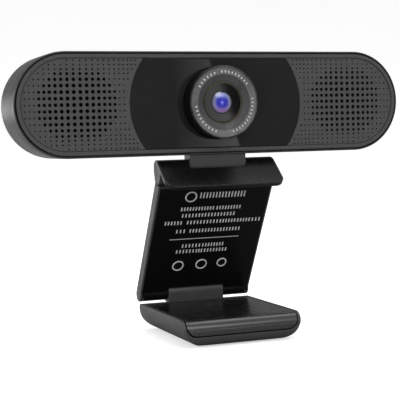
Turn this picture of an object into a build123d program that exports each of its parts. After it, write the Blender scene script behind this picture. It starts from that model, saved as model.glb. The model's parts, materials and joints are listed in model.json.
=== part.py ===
"""Bar webcam with two perforated speaker fields, on a folding clip stand of three plates.

The stand stands on its foot. The fold hinge joins foot and arm, the clip hinge joins arm and
clip, and the tilt hinge joins clip and head. X runs along the head, -Y is the front, +Z is up,
and the origin is the middle of the bounding box at the height of the surface under the foot.
"""
from build123d import *
from math import cos, radians, sin
import os

# Head: a flat bar with round ends, drawn across X and Z and measured in depth from its face.
head_length = 160.0
head_height = 40.0
head_depth = 28.5
head_z = 91.4
face_y = -8.0
seam_depth = 5.5
wall = 2.0

# Front: bezel, perforated panel and glossy centre panel.
bezel_lip = 0.5
panel_gap = 0.65
panel_thickness = 2.0
rim_width = 1.35
rim_height = 0.3
rim_groove = 0.3
seam_groove = 0.4
centre_half_top = 29.5
centre_half_middle = 35.5
centre_half_height = 17.3
centre_thickness = 1.2

# Speaker holes: a grid whose pitch closes up outwards, large holes in the middle of each side.
grid_x = 55.9
grid_pitch = 2.55
grid_closing = 0.0483
row_pitches = (2.4, 2.4, 2.4, 2.3, 2.1, 1.65, 1.65, 1.65)
grid_half_columns = 11.5
large_half_columns = 6.5
large_full_rows = 2
large_rows = 6
large_hole = 1.55
small_hole = 0.6
hole_margin = 1.6

# Lens.
hood_radius = 14.0
hood_length = 7.6
ring_outer = 13.35
ring_inner = 10.6
cone_inner = 7.9
gold_inner = 7.3
glass_radius = 4.3
barrel_radius = 6.05

# Inside the head.
boss_places = [(-74, 0), (74, 0), (-36, 13), (36, 13), (-36, -13), (36, -13)]
camera_posts = [(-17, 10.5), (17, 10.5), (-17, -10.5), (17, -10.5)]
board_posts = [(-26, 10.5), (26, 10.5), (-26, -10.5), (26, -10.5)]
speaker_x = 54.0
chamber_radius = 15.2
microphone_places = [(-69.3, 9.3), (69.3, 9.3), (-69.3, -9.3), (69.3, -9.3)]
camera_board_depth = 12.0
main_board_depth = 19.0
usb_size = (8.94, 3.26)

# Stand: the arm leans forward over the foot, and the clip sits on its upper end.
stand_half = 24.2
knuckle_half = 12.0
fold_y = 25.0
fold_z = 14.1
fold_radius = 2.9
knuckle_radius = 3.8
arm_lean = 31.8
arm_length = 56.9
arm_front = 2.1
arm_thickness = 5.0
clip_setback = 1.5
clip_radius = 3.1
pin_radius = 1.25
small_pin_radius = 1.0
running_gap = 0.05
side_gap = 0.25

# Clip and neck.
tilt_y = -3.9
tilt_z = head_z - 24.5
neck_half = 11.7
neck_radius = 3.1
lip_top = (-5.0, head_z - 21.9)
lip_slope = 39.2
lip_length = 15.5
lip_thickness = 1.6
notch_depth = 4.9

# Foot.
foot_front = -28.8
foot_rear = 24.3
foot_top = 10.5
foot_half = 24.0
foot_lower_radius = 8.5
foot_front_radius = 4.4
foot_floor = 4.0
foot_sill = 5.1
insert_half = 22.5
insert_thickness = 1.5
foot_clearance = 0.4
insert_gap = 0.5
insert_front_wall = 3.0
pad_thickness = 1.0
pad_size = (31.0, 43.0)
tripod_bore = 2.6
tripod_outer = 4.6
tripod_length = 7.8

clip_y = fold_y - arm_length * sin(radians(arm_lean)) + clip_setback * cos(radians(arm_lean))
clip_z = fold_z + arm_length * cos(radians(arm_lean)) + clip_setback * sin(radians(arm_lean))


def facing(depth, x=0.0, z=0.0):
    """Plane across the head at a depth behind its face; extruding goes towards the front."""
    return Plane(origin=(x, face_y + depth, head_z + z), x_dir=(1, 0, 0), z_dir=(0, -1, 0))


def side(x=0.0):
    """Plane along Y and Z at a place on X; extruding goes towards +X."""
    return Plane.YZ.offset(x)


def save(piece, name):
    """Label a finished piece and write it as its own STEP file."""
    piece.part.label = name
    export_step(piece.part, f"parts/{name}.step")


arm_side = Plane(
    origin=(0, fold_y, fold_z),
    x_dir=(0, cos(radians(arm_lean)), sin(radians(arm_lean))),
    z_dir=(1, 0, 0),
)
arm_face = Plane(
    origin=(0, fold_y, fold_z),
    x_dir=(1, 0, 0),
    z_dir=(0, -cos(radians(arm_lean)), -sin(radians(arm_lean))),
)
lip_face = Plane(
    origin=(0, *lip_top),
    x_dir=(1, 0, 0),
    z_dir=(0, -sin(radians(lip_slope)), cos(radians(lip_slope))),
)

os.makedirs("parts", exist_ok=True)

# ---------------------------------------------------------------- head: housing and bezel
rear_opening = (9.4, 3.7)
neck_slot_front = tilt_y - face_y - neck_radius - 0.1
neck_slot_rear = tilt_y - face_y + neck_radius + 0.1
neck_slot_centre = face_y + (neck_slot_front + neck_slot_rear) / 2
neck_slot_size = (2 * neck_half + 0.2, neck_slot_rear - neck_slot_front)
head_bottom = head_z - head_height / 2

with BuildPart() as rear_housing:
    with BuildSketch(facing(head_depth)):
        SlotOverall(head_length, head_height)
    extrude(amount=head_depth - seam_depth)
    fillet(rear_housing.faces().sort_by(Axis.Y)[-1].edges(), radius=5.5)
    offset(amount=-wall, openings=rear_housing.faces().sort_by(Axis.Y)[0])
    with BuildSketch(facing(head_depth - wall)):
        with Locations(*boss_places):
            Circle(2.6)
    extrude(amount=head_depth - wall - seam_depth - 0.1)
    with BuildSketch(facing(head_depth - wall)):
        with Locations(*camera_posts):
            Circle(2.2)
    extrude(amount=head_depth - wall - camera_board_depth - 1.2)
    with BuildSketch(facing(head_depth - wall)):
        with Locations(*board_posts):
            Circle(2.2)
    extrude(amount=head_depth - wall - main_board_depth - 1.6)
    with BuildSketch(facing(head_depth - wall)):
        with Locations((-speaker_x, 0), (speaker_x, 0)):
            Circle(chamber_radius)
            Circle(chamber_radius - 1.2, mode=Mode.SUBTRACT)
    extrude(amount=head_depth - wall - 6.0)
    with BuildSketch(facing(13.0)):
        with Locations(*boss_places):
            Circle(0.9)
    extrude(amount=8.5, mode=Mode.SUBTRACT)
    with BuildSketch(facing(camera_board_depth + 8.0)):
        with Locations(*camera_posts):
            Circle(0.7)
    extrude(amount=8.0, mode=Mode.SUBTRACT)
    with BuildSketch(facing(main_board_depth + 6.0)):
        with Locations(*board_posts):
            Circle(0.7)
    extrude(amount=6.0, mode=Mode.SUBTRACT)
    with BuildSketch(facing(head_depth + 1)):
        RectangleRounded(*rear_opening, 1.8)
    extrude(amount=wall + 2, mode=Mode.SUBTRACT)
    with BuildSketch(Plane.XY.offset(head_bottom - 1)):
        with Locations((0, neck_slot_centre)):
            Rectangle(*neck_slot_size)
    extrude(amount=wall + 2, mode=Mode.SUBTRACT)
    with BuildSketch(Plane.XY.offset(head_bottom + 0.4)):
        with Locations((-8, face_y + 11), (8, face_y + 11)):
            Circle(0.7)
    extrude(amount=wall, mode=Mode.SUBTRACT)
save(rear_housing, "rear_housing")

panel_length = head_length - 2 * (bezel_lip + panel_gap)
panel_height = head_height - 2 * (bezel_lip + panel_gap)
field_length = panel_length - 2 * rim_width
field_height = panel_height - 2 * rim_width
with BuildPart() as front_bezel:
    with BuildSketch(facing(seam_depth)):
        SlotOverall(head_length, head_height)
    extrude(amount=seam_depth - 0.3)
    fillet(front_bezel.faces().sort_by(Axis.Y)[0].edges(), radius=0.45)
    with BuildSketch(facing(panel_thickness + 0.3)):
        SlotOverall(head_length - 2 * bezel_lip, head_height - 2 * bezel_lip)
    extrude(amount=4, mode=Mode.SUBTRACT)
    with BuildSketch(facing(seam_depth + 1)):
        SlotOverall(head_length - 8, head_height - 8)
    extrude(amount=seam_depth + 2, mode=Mode.SUBTRACT)
    with BuildSketch(facing(seam_depth)):
        with Locations(*boss_places):
            Circle(3.2)
        SlotOverall(head_length - 4, head_height - 4, mode=Mode.INTERSECT)
    extrude(amount=seam_depth - panel_thickness - 0.4)
    with BuildSketch(facing(seam_depth + 1)):
        with Locations(*boss_places):
            Circle(1.1)
    extrude(amount=seam_depth + 1, mode=Mode.SUBTRACT)
    with BuildSketch(facing(3.6)):
        with Locations(*boss_places):
            Circle(2.0)
    extrude(amount=1.2, mode=Mode.SUBTRACT)
    with BuildSketch(Plane.XY.offset(head_bottom - 1)):
        with Locations((0, neck_slot_centre)):
            Rectangle(*neck_slot_size)
    extrude(amount=6, mode=Mode.SUBTRACT)
    with BuildSketch(facing(seam_depth)):
        SlotOverall(head_length + 2, head_height + 2)
        SlotOverall(head_length - 2 * seam_groove, head_height - 2 * seam_groove, mode=Mode.SUBTRACT)
    extrude(amount=seam_groove, mode=Mode.SUBTRACT)
save(front_bezel, "front_bezel")

with BuildPart() as bezel_screws:
    with BuildSketch(facing(3.55)):
        with Locations(*boss_places):
            Circle(1.9)
    extrude(amount=0.9)
    with BuildSketch(facing(12.0)):
        with Locations(*boss_places):
            Circle(0.88)
    extrude(amount=9.0)
save(bezel_screws, "bezel_screws")


# ---------------------------------------------------------------- head: front panel and centre
centre_sagitta = centre_half_middle - centre_half_top
centre_arc = (centre_half_height**2 + centre_sagitta**2) / (2 * centre_sagitta)


def centre_edge(z):
    """Half width of the centre panel at a height z above the lens."""
    return centre_half_middle - centre_arc + (centre_arc**2 - z**2) ** 0.5


def centre_outline(plane, grow):
    """Outline of the centre panel with bowed ends, grown or shrunk by an amount."""
    top = centre_half_height + grow
    corner = centre_half_top + grow
    middle = centre_half_middle + grow
    with BuildSketch(plane) as outline:
        with BuildLine():
            Line((-corner, top), (corner, top))
            ThreePointArc((corner, top), (middle, 0), (corner, -top))
            Line((corner, -top), (-corner, -top))
            ThreePointArc((-corner, -top), (-middle, 0), (-corner, top))
        make_face()
    return outline.sketch


def hole_size(row, column):
    """Diameter of the hole at a row and column of the speaker grid."""
    columns_left = large_half_columns - max(0, row - large_full_rows)
    if row > large_rows or column > columns_left:
        return small_hole
    return large_hole - 0.4 * (column / large_half_columns) ** 2 - 0.7 * (row / large_rows) ** 4


def speaker_holes():
    """Place and diameter of every hole in one quarter of the panel, from the middle row up."""
    end_centre = (head_length - head_height) / 2
    field_radius = field_height / 2
    holes = []
    z = 0.0
    for row in range(len(row_pitches) + 1):
        for step in range(-int(2 * grid_half_columns), int(2 * grid_half_columns) + 1, 2):
            column = step / 2
            x = grid_x + grid_pitch * column - grid_closing * column * abs(column)
            past_end = max(0.0, x - end_centre)
            edge_distance = field_radius - (past_end**2 + z**2) ** 0.5
            panel_distance = x - centre_edge(min(z, centre_half_height))
            if edge_distance > 0.85 and panel_distance > hole_margin:
                holes.append((x, z, hole_size(row, abs(column))))
        if row < len(row_pitches):
            z += row_pitches[row]
    return holes


with BuildPart() as front_panel:
    with BuildSketch(facing(panel_thickness)):
        SlotOverall(panel_length, panel_height)
        for x, z, size in speaker_holes():
            mirrored = {(x, z), (-x, z), (x, -z), (-x, -z)}
            with Locations(*mirrored):
                Circle(size / 2, mode=Mode.SUBTRACT)
    extrude(amount=panel_thickness)
    with BuildSketch(facing(rim_height)):
        SlotOverall(field_length, field_height)
    extrude(amount=1, mode=Mode.SUBTRACT)
    with BuildSketch(facing(rim_height + rim_groove)):
        SlotOverall(field_length, field_height)
        SlotOverall(field_length - 2 * rim_groove, field_height - 2 * rim_groove, mode=Mode.SUBTRACT)
    extrude(amount=1, mode=Mode.SUBTRACT)
    extrude(centre_outline(facing(centre_thickness + 0.1), 0.1), amount=3, mode=Mode.SUBTRACT)
    extrude(centre_outline(facing(panel_thickness + 1), -3.0), amount=4, mode=Mode.SUBTRACT)
save(front_panel, "front_panel")
print("holes in the front panel:", len(front_panel.faces().filter_by(GeomType.CYLINDER)))

with BuildPart() as centre_panel:
    extrude(centre_outline(facing(centre_thickness + 0.1), 0.0), amount=centre_thickness)
    fillet(centre_panel.faces().sort_by(Axis.Y)[0].edges(), radius=0.25)
    with BuildSketch(facing(3)):
        Circle(hood_radius + 0.1)
    extrude(amount=4, mode=Mode.SUBTRACT)
save(centre_panel, "centre_panel")

with BuildPart() as grille_cloths:
    with BuildSketch(facing(panel_thickness + 0.27)):
        SlotOverall(panel_length - 5, panel_height - 5)
        Rectangle(2 * centre_half_middle + 3, head_height, mode=Mode.SUBTRACT)
    extrude(amount=0.25)
save(grille_cloths, "grille_cloths")

# ---------------------------------------------------------------- head: lens
lens_axis = Axis((0, face_y, head_z), (0, 1, 0))


def half_section(*profile, x=0.0):
    """Closed profile of (depth, radius) points above an axis that runs back into the head."""
    plane = Plane(origin=(x, face_y, head_z), x_dir=(0, 1, 0), z_dir=(1, 0, 0))
    with BuildSketch(plane) as section:
        with BuildLine():
            Polyline(*profile, close=True)
        make_face()
    return section.sketch


hood_front = -hood_length
with BuildPart() as lens_hood:
    profile = half_section(
        (hood_front, ring_outer + 0.1),
        (hood_front, hood_radius - 0.35),
        (hood_front + 0.35, hood_radius),
        (panel_thickness + 0.05, hood_radius),
        (panel_thickness + 0.05, 15.0),
        (panel_thickness + 1.4, 15.0),
        (panel_thickness + 1.4, 12.2),
        (-2.4, 12.2),
        (-2.4, barrel_radius + 0.1),
        (-3.8, barrel_radius + 0.1),
        (-3.8, 11.2),
        (-6.2, 11.2),
        (-6.2, ring_outer + 0.1),
    )
    revolve(profile, axis=lens_axis)
save(lens_hood, "lens_hood")

with BuildPart() as lens_trim_ring:
    profile = half_section(
        (hood_front + 0.5, ring_inner),
        (hood_front + 0.15, ring_outer),
        (-6.25, ring_outer),
        (-6.25, ring_inner),
    )
    revolve(profile, axis=lens_axis)
save(lens_trim_ring, "lens_trim_ring")

with BuildPart() as lens_inner_cone:
    profile = half_section(
        (-7.0, ring_inner - 0.1),
        (-5.4, cone_inner + 0.05),
        (-3.85, cone_inner + 0.05),
        (-3.85, 11.1),
        (-6.15, 11.1),
        (-6.15, ring_inner - 0.1),
    )
    revolve(profile, axis=lens_axis)
save(lens_inner_cone, "lens_inner_cone")

with BuildPart() as lens_accent_ring:
    profile = half_section((-5.55, gold_inner), (-5.55, cone_inner), (-4.6, cone_inner), (-4.6, gold_inner))
    revolve(profile, axis=lens_axis)
save(lens_accent_ring, "lens_accent_ring")

with BuildPart() as lens_baffle:
    profile = half_section(
        (-5.2, gold_inner - 0.05),
        (-5.2, 6.6),
        (-4.95, 6.6),
        (-4.95, 5.9),
        (-4.7, 5.9),
        (-4.7, 5.2),
        (-4.45, 5.2),
        (-4.45, glass_radius + 0.1),
        (-3.85, glass_radius + 0.1),
        (-3.85, gold_inner - 0.05),
    )
    revolve(profile, axis=lens_axis)
save(lens_baffle, "lens_baffle")


def lens_element(front, edge_front, back, radius, name):
    """One glass element with a domed front and a flat back, on the lens axis."""
    plane = Plane(origin=(0, face_y, head_z), x_dir=(0, 1, 0), z_dir=(1, 0, 0))
    bulge = ((front + edge_front) / 2 - 0.12 * (edge_front - front) * 2, radius * 0.6)
    with BuildSketch(plane) as section:
        with BuildLine():
            ThreePointArc((front, 0), bulge, (edge_front, radius))
            Polyline((edge_front, radius), (back, radius), (back, 0), (front, 0))
        make_face()
    with BuildPart() as element:
        revolve(section.sketch, axis=lens_axis)
    save(element, name)


lens_element(-5.0, -4.2, -3.85, glass_radius, "lens_front_glass")
lens_element(5.6, 6.2, 7.4, 3.5, "lens_rear_glass")

with BuildPart() as lens_barrel:
    profile = half_section((-3.75, 3.55), (-3.75, barrel_radius), (9.0, barrel_radius), (9.0, 3.55))
    revolve(profile, axis=lens_axis)
save(lens_barrel, "lens_barrel")

with BuildPart() as lens_holder:
    with BuildSketch(facing(camera_board_depth)):
        Rectangle(16, 16)
        Rectangle(25, 5)
    extrude(amount=7)
    with BuildSketch(facing(camera_board_depth)):
        Circle(barrel_radius + 0.05)
    extrude(amount=8, mode=Mode.SUBTRACT)
    with BuildSketch(facing(camera_board_depth)):
        Rectangle(12.6, 12.6)
    extrude(amount=2.6, mode=Mode.SUBTRACT)
    with BuildSketch(facing(camera_board_depth)):
        with Locations((-10.2, 0), (10.2, 0)):
            Circle(0.6)
    extrude(amount=5, mode=Mode.SUBTRACT)
save(lens_holder, "lens_holder")

with BuildPart() as ir_filter:
    with BuildSketch(facing(camera_board_depth - 2.2)):
        Rectangle(12.4, 12.4)
    extrude(amount=0.3)
save(ir_filter, "ir_filter")

with BuildPart() as image_sensor:
    with BuildSketch(facing(camera_board_depth)):
        Rectangle(8.5, 7.5)
    extrude(amount=1.0)
save(image_sensor, "image_sensor")

# ---------------------------------------------------------------- head: boards and socket
with BuildPart() as camera_board:
    with BuildSketch(facing(camera_board_depth + 1.2)):
        RectangleRounded(40, 27, 1)
        with Locations(*camera_posts):
            Circle(0.8, mode=Mode.SUBTRACT)
        with Locations((-10.2, 0), (10.2, 0)):
            Circle(0.7, mode=Mode.SUBTRACT)
    extrude(amount=1.2)
save(camera_board, "camera_board")

with BuildPart() as main_board:
    with BuildSketch(facing(main_board_depth + 1.6)):
        RectangleRounded(60, 28, 1)
        with Locations(*camera_posts):
            Circle(2.6, mode=Mode.SUBTRACT)
        with Locations(*board_posts):
            Circle(0.8, mode=Mode.SUBTRACT)
    extrude(amount=1.6)
save(main_board, "main_board")

with BuildPart() as board_screws:
    for places, depth in ((camera_posts, camera_board_depth), (board_posts, main_board_depth)):
        with BuildSketch(facing(depth)):
            with Locations(*places):
                Circle(1.5)
        extrude(amount=0.8)
        with BuildSketch(facing(depth + 5)):
            with Locations(*places):
                Circle(0.68)
        extrude(amount=5)
save(board_screws, "board_screws")

with BuildPart() as holder_screws:
    with BuildSketch(facing(camera_board_depth + 2.0)):
        with Locations((-10.2, 0), (10.2, 0)):
            Circle(1.3)
    extrude(amount=0.8)
    with BuildSketch(facing(camera_board_depth + 1.2)):
        with Locations((-10.2, 0), (10.2, 0)):
            Circle(0.58)
    extrude(amount=5)
save(holder_screws, "holder_screws")

chips = (("processor_chip", 14, 1, 11, 11), ("audio_chip", -15, 2, 7, 7), ("memory_chip", 0, -9, 8, 5))
for name, x, z, width, height in chips:
    with BuildPart() as chip:
        with BuildSketch(facing(main_board_depth + 2.6, x, z)):
            Rectangle(width, height)
        extrude(amount=1.0)
        chamfer(chip.faces().sort_by(Axis.Y)[-1].edges(), length=0.15)
    save(chip, name)

ribbon_z = 9.5
with BuildPart() as ribbon_sockets:
    with BuildSketch(facing(camera_board_depth + 2.3)):
        with Locations((0, -ribbon_z)):
            Rectangle(14, 3)
    extrude(amount=1.1)
    with BuildSketch(facing(main_board_depth)):
        with Locations((0, ribbon_z)):
            Rectangle(14, 3)
    extrude(amount=1.1)
save(ribbon_sockets, "ribbon_sockets")

with BuildPart() as ribbon_cable:
    with BuildSketch(side()):
        with BuildLine():
            start = (face_y + camera_board_depth + 2.5, head_z - ribbon_z - 1)
            rise = face_y + camera_board_depth + 3.9
            end = (face_y + main_board_depth - 1.3, head_z + ribbon_z + 1)
            bend = [start, (start[0], start[1] + 4), (rise, start[1] + 6), (rise, end[1] - 6)]
            FilletPolyline(*bend, (end[0], end[1] - 4), end, radius=0.8)
        trace(line_width=0.25)
    extrude(amount=6, both=True)
save(ribbon_cable, "ribbon_cable")

usb_front = main_board_depth + 1.6
with BuildPart() as usb_socket:
    with BuildSketch(facing(head_depth - 0.2)):
        RectangleRounded(*usb_size, 1.6)
    extrude(amount=head_depth - 0.2 - usb_front)
    with BuildSketch(facing(head_depth)):
        RectangleRounded(usb_size[0] - 0.6, usb_size[1] - 0.6, 1.25)
    extrude(amount=head_depth - usb_front - 0.8, mode=Mode.SUBTRACT)
save(usb_socket, "usb_socket")

with BuildPart() as usb_tongue:
    with BuildSketch(facing(head_depth - 1.2)):
        Rectangle(6.7, 0.7)
    extrude(amount=head_depth - 1.2 - usb_front - 0.8)
save(usb_tongue, "usb_tongue")

# ---------------------------------------------------------------- head: speakers and microphones
speaker_profiles = {
    "gasket": ((2.35, 12.9), (2.35, 14.7), (4.75, 14.7), (4.75, 12.9)),
    "frame": (
        (4.8, 12.8),
        (4.8, 14.9),
        (5.95, 14.9),
        (5.95, 13.6),
        (10.6, 9.6),
        (10.6, 8.1),
        (9.8, 8.1),
        (9.8, 9.0),
        (5.7, 12.6),
    ),
    "surround": (
        (5.35, 11.15),
        (4.9, 11.5),
        (4.9, 12.1),
        (5.3, 12.55),
        (5.6, 12.55),
        (5.2, 12.0),
        (5.2, 11.6),
        (5.65, 11.2),
    ),
    "cone": (
        (7.2, 0),
        (7.5, 2.5),
        (8.4, 5.0),
        (5.35, 11.05),
        (5.65, 11.1),
        (8.7, 5.8),
        (8.7, 4.9),
        (7.8, 2.4),
        (7.5, 0),
    ),
    "coil": ((8.75, 5.2), (8.75, 5.7), (12.6, 5.7), (12.6, 5.2)),
    "magnet": (
        (9.9, 0),
        (9.9, 4.9),
        (13.6, 4.9),
        (13.6, 6.0),
        (9.9, 6.0),
        (9.9, 8.0),
        (15.4, 8.0),
        (15.4, 0),
    ),
}
paired_nodes = {"gasket": "speaker_gaskets", "surround": "speaker_surrounds", "coil": "speaker_coils"}
for piece, profile in speaker_profiles.items():
    turned = []
    for hand, place in (("left", -speaker_x), ("right", speaker_x)):
        with BuildPart() as speaker_piece:
            revolve(half_section(*profile, x=place), axis=Axis((place, face_y, head_z), (0, 1, 0)))
        if piece not in paired_nodes:
            save(speaker_piece, f"speaker_{piece}_{hand}")
        turned.append(speaker_piece.part)
    if piece in paired_nodes:
        with BuildPart() as speaker_pair:
            add(turned)
        save(speaker_pair, paired_nodes[piece])

with BuildPart() as microphone_boots:
    with BuildSketch(facing(5.2)):
        with Locations(*microphone_places):
            Circle(2.5)
    extrude(amount=2.8)
    with BuildSketch(facing(4.7)):
        with Locations(*microphone_places):
            Circle(1.6)
    extrude(amount=4, mode=Mode.SUBTRACT)
save(microphone_boots, "microphone_boots")

with BuildPart() as microphones:
    with BuildSketch(facing(4.65)):
        with Locations(*microphone_places):
            Circle(1.55)
    extrude(amount=1.5)
save(microphones, "microphones")

# ---------------------------------------------------------------- neck
flange_z = head_bottom + wall + 0.05
neck_front = tilt_y - neck_radius
neck_rear = tilt_y + neck_radius
with BuildPart() as neck_block:
    with BuildSketch(side()):
        with Locations((tilt_y, tilt_z)):
            Circle(neck_radius)
        with BuildLine():
            Polyline(
                (neck_front, tilt_z),
                (neck_front, head_bottom + 0.7),
                (face_y + panel_thickness + 0.4, head_bottom + 0.7),
                (face_y + panel_thickness + 0.4, flange_z + 1.8),
                (face_y + 15, flange_z + 1.8),
                (face_y + 15, flange_z),
                (neck_rear, flange_z),
                (neck_rear, tilt_z),
                close=True,
            )
        make_face()
        with Locations((tilt_y, tilt_z)):
            Circle(2.0, mode=Mode.SUBTRACT)
    extrude(amount=neck_half, both=True)
    with BuildSketch(Plane.XY.offset(flange_z - 1)):
        with Locations((-8, face_y + 11), (8, face_y + 11)):
            Circle(0.8)
    extrude(amount=4, mode=Mode.SUBTRACT)
save(neck_block, "neck_block")

with BuildPart() as neck_screws:
    with BuildSketch(Plane.XY.offset(flange_z + 1.8)):
        with Locations((-8, face_y + 11), (8, face_y + 11)):
            Circle(1.5)
    extrude(amount=0.8)
    with BuildSketch(Plane.XY.offset(head_bottom + 0.5)):
        with Locations((-8, face_y + 11), (8, face_y + 11)):
            Circle(0.68)
    extrude(amount=flange_z + 1.8 - head_bottom - 0.5)
save(neck_screws, "neck_screws")

with BuildPart() as neck_bushes:
    for start in (-neck_half, 0.3):
        with BuildSketch(side(start)):
            with Locations((tilt_y, tilt_z)):
                Circle(1.98)
                Circle(small_pin_radius + running_gap, mode=Mode.SUBTRACT)
        extrude(amount=neck_half - 0.3)
save(neck_bushes, "neck_bushes")


# ---------------------------------------------------------------- clip
def on_lip(along, inward):
    """Point of the side view, along the lip from its top edge and inward from its front face."""
    run = cos(radians(lip_slope))
    fall = sin(radians(lip_slope))
    return (lip_top[0] - along * run + inward * fall, lip_top[1] - along * fall - inward * run)


def both_hands(near, far):
    """Start and width of a band along X on each side of the middle."""
    return ((near, far - near), (-far, far - near))


ear_inner = neck_half + side_gap
arm_knuckle = (16.8, 21.0)
clip_axis_place = (clip_y, clip_z)
with BuildPart() as clip_bracket:
    with BuildSketch(side()):
        with BuildLine():
            Polyline(
                lip_top,
                (-2.2, 69.8),
                (0.0, 68.3),
                (0.0, 65.2),
                (clip_y + clip_radius, clip_z),
                (clip_y - clip_radius, clip_z),
                on_lip(5.3, lip_thickness + 0.4),
                on_lip(2.0, lip_thickness + 0.4),
                on_lip(2.0, lip_thickness),
                on_lip(0.0, lip_thickness),
                close=True,
            )
        make_face()
        with Locations(clip_axis_place):
            Circle(clip_radius)
    extrude(amount=stand_half, both=True)
    rear_edges = clip_bracket.edges().filter_by(Axis.X).filter_by_position(Axis.Z, 64.5, 70)
    fillet(rear_edges.filter_by_position(Axis.Y, -2.5, 0.5), radius=1.2)
    for start, width in both_hands(arm_knuckle[0] - side_gap, arm_knuckle[1] + side_gap):
        with BuildSketch(side(start)):
            with Locations(clip_axis_place):
                Circle(clip_radius + 0.15)
        extrude(amount=width, mode=Mode.SUBTRACT)
    with BuildSketch(side()):
        with Locations((tilt_y, tilt_z)):
            Circle(neck_radius + 0.25)
        with Locations((tilt_y, tilt_z - 0.3 + 10)):
            Rectangle(20, 20)
        with Locations((tilt_y + 10, tilt_z - 1.8 + 10)):
            Rectangle(20, 20)
    extrude(amount=ear_inner, both=True, mode=Mode.SUBTRACT)
    with BuildSketch(side()):
        with Locations((tilt_y, tilt_z)):
            Circle(small_pin_radius)
    extrude(amount=16.2, both=True, mode=Mode.SUBTRACT)
    for start, width in both_hands(13.2, 23.2):
        with BuildSketch(side(start)):
            with Locations(clip_axis_place):
                Circle(small_pin_radius)
        extrude(amount=width, mode=Mode.SUBTRACT)
save(clip_bracket, "clip_bracket")

with BuildPart() as lip_plate:
    with BuildSketch(lip_face):
        with Locations((0, -lip_length / 2)):
            Rectangle(2 * stand_half + 0.6, lip_length)
        fillet(vertices().group_by(Axis.Y)[0], radius=4.0)
        fillet(vertices().group_by(Axis.Y)[-1], radius=0.8)
    extrude(amount=-lip_thickness)
    chamfer(lip_plate.faces().sort_by(Axis((0, 0, 0), lip_face.z_dir))[-1].edges(), length=0.3)
    with BuildSketch(lip_face):
        Rectangle(2 * ear_inner, 2 * notch_depth)
        fillet(vertices().group_by(Axis.Y)[0], radius=0.7)
    extrude(amount=3, both=True, mode=Mode.SUBTRACT)
save(lip_plate, "lip_plate")

with BuildPart() as lip_pad:
    with BuildSketch(lip_face.offset(-lip_thickness)):
        with Locations((0, -11.2)):
            RectangleRounded(42, 6, 2)
    extrude(amount=-0.8)
save(lip_pad, "lip_pad")

with BuildPart() as tilt_pin:
    with BuildSketch(side()):
        with Locations((tilt_y, tilt_z)):
            Circle(small_pin_radius)
    extrude(amount=16.1, both=True)
save(tilt_pin, "tilt_pin")

with BuildPart() as clip_pins:
    for start, width in both_hands(13.3, 23.1):
        with BuildSketch(side(start)):
            with Locations(clip_axis_place):
                Circle(small_pin_radius)
        extrude(amount=width)
save(clip_pins, "clip_pins")

# ---------------------------------------------------------------- arm
arm_back = arm_thickness - arm_front
label_half = 23.3
label_top = 53.6
label_thickness = 0.85
barrel_inner = knuckle_half + 0.35
barrel_outer = 22.4
clip_place = (clip_setback, arm_length)
with BuildPart() as arm_frame:
    with BuildSketch(arm_side):
        with BuildLine():
            Polyline((-arm_front, 0), (-arm_front, 54.5), (arm_back, 55.5), (arm_back, 0), close=True)
        make_face()
        Circle(fold_radius)
    extrude(amount=stand_half, both=True)
    fillet(arm_frame.faces().filter_by(Axis.X).edges(), radius=0.5)
    with BuildSketch(arm_side):
        with Locations(clip_place):
            Circle(clip_radius + 0.35)
    extrude(amount=stand_half + 1, both=True, mode=Mode.SUBTRACT)
    with BuildSketch(arm_side):
        Circle(fold_radius + 0.03)
    extrude(amount=barrel_outer + 0.05, both=True, mode=Mode.SUBTRACT)
    with BuildSketch(arm_side):
        Circle(knuckle_radius + 0.35)
    extrude(amount=knuckle_half + 0.3, both=True, mode=Mode.SUBTRACT)
    with BuildSketch(arm_face.offset(arm_front + 1)):
        with Locations((0, (label_top + 0.1) / 2)):
            Rectangle(2 * label_half + 0.2, label_top + 0.1)
    extrude(amount=-1 - label_thickness - 0.05, mode=Mode.SUBTRACT)
    for start, width in both_hands(*arm_knuckle):
        with BuildSketch(arm_side.offset(start)):
            with Locations(clip_place):
                Circle(clip_radius - 0.3)
            with BuildLine():
                Polyline(
                    (-1.1, 51),
                    (clip_place[0] - 2.6, arm_length),
                    (arm_back, arm_length),
                    (arm_back, 51),
                    close=True,
                )
            make_face()
            with Locations(clip_place):
                Circle(small_pin_radius + running_gap, mode=Mode.SUBTRACT)
        extrude(amount=width)
    with BuildSketch(arm_face.offset(-arm_back)):
        with Locations((0, 29)):
            RectangleRounded(38.2, 34.2, 3.1)
    extrude(amount=0.6, mode=Mode.SUBTRACT)
save(arm_frame, "arm_frame")

with BuildPart() as label_panel:
    with BuildSketch(arm_face.offset(arm_front)):
        with BuildLine():
            Polyline(
                (-label_half, 2.4),
                (-label_half, label_top),
                (label_half, label_top),
                (label_half, 2.4),
                (12.7, 2.4),
                (12.7, 4.4),
                (-12.7, 4.4),
                (-12.7, 2.4),
                close=True,
            )
        make_face()
    extrude(amount=-label_thickness)
    with BuildSketch(arm_side):
        Circle(fold_radius + 0.05)
    extrude(amount=stand_half, both=True, mode=Mode.SUBTRACT)
save(label_panel, "label_panel")

with BuildPart() as arm_pad:
    with BuildSketch(arm_face.offset(-arm_back + 0.6)):
        with Locations((0, 29)):
            RectangleRounded(38, 34, 3)
    extrude(amount=-0.9)
save(arm_pad, "arm_pad")

with BuildPart() as arm_barrels:
    for start, width, radius in (
        (barrel_inner, 20.3 - barrel_inner, fold_radius),
        (20.3, 0.4, fold_radius - 0.35),
        (20.7, barrel_outer - 20.7, fold_radius),
    ):
        for band_start in (start, -start - width):
            with BuildSketch(arm_side.offset(band_start)):
                Circle(radius)
                Circle(pin_radius, mode=Mode.SUBTRACT)
            extrude(amount=width)
save(arm_barrels, "arm_barrels")

with BuildPart() as fold_pin:
    with BuildSketch(arm_side):
        Circle(pin_radius)
    extrude(amount=barrel_outer - 0.1, both=True)
save(fold_pin, "fold_pin")

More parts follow.
